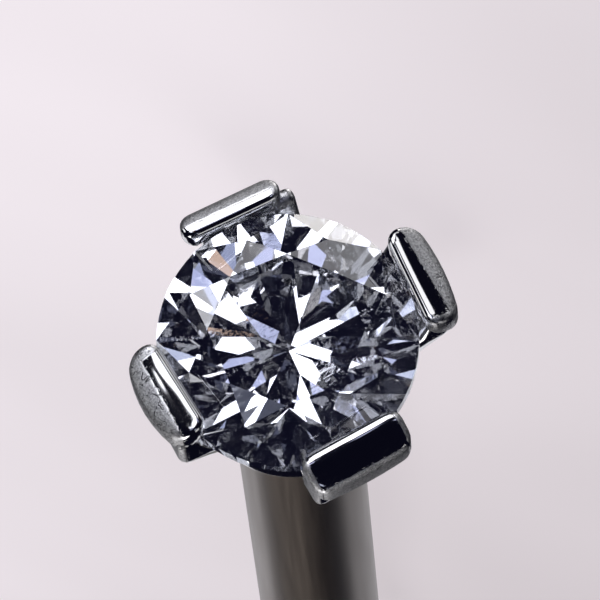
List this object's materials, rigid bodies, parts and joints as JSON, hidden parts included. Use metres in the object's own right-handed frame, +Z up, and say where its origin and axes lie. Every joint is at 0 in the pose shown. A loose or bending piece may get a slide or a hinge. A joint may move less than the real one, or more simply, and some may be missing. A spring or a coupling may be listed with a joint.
{
  "type": "nose stud",
  "caption": "Claw-set round brilliant nose stud with a plain straight post that ends in a small rounded bulb, lying on its side.",
  "frame": {"origin": "on the surface that the stud lies on, under the middle of its box", "axes": "+Y runs from the stone's face towards the bulb at the post's end, +Z up, the stud lying on two claws and its bulb"},
  "size_m": [0.0022, 0.0104, 0.0023],
  "materials": {
    "stone": "polished clear facets",
    "steel": "dark polished steel with scratched, pitted outer faces"
  },
  "bodies": {
    "root": {"stone": "stone", "claw_setting_and_post": "steel"}
  },
  "joints": []
}
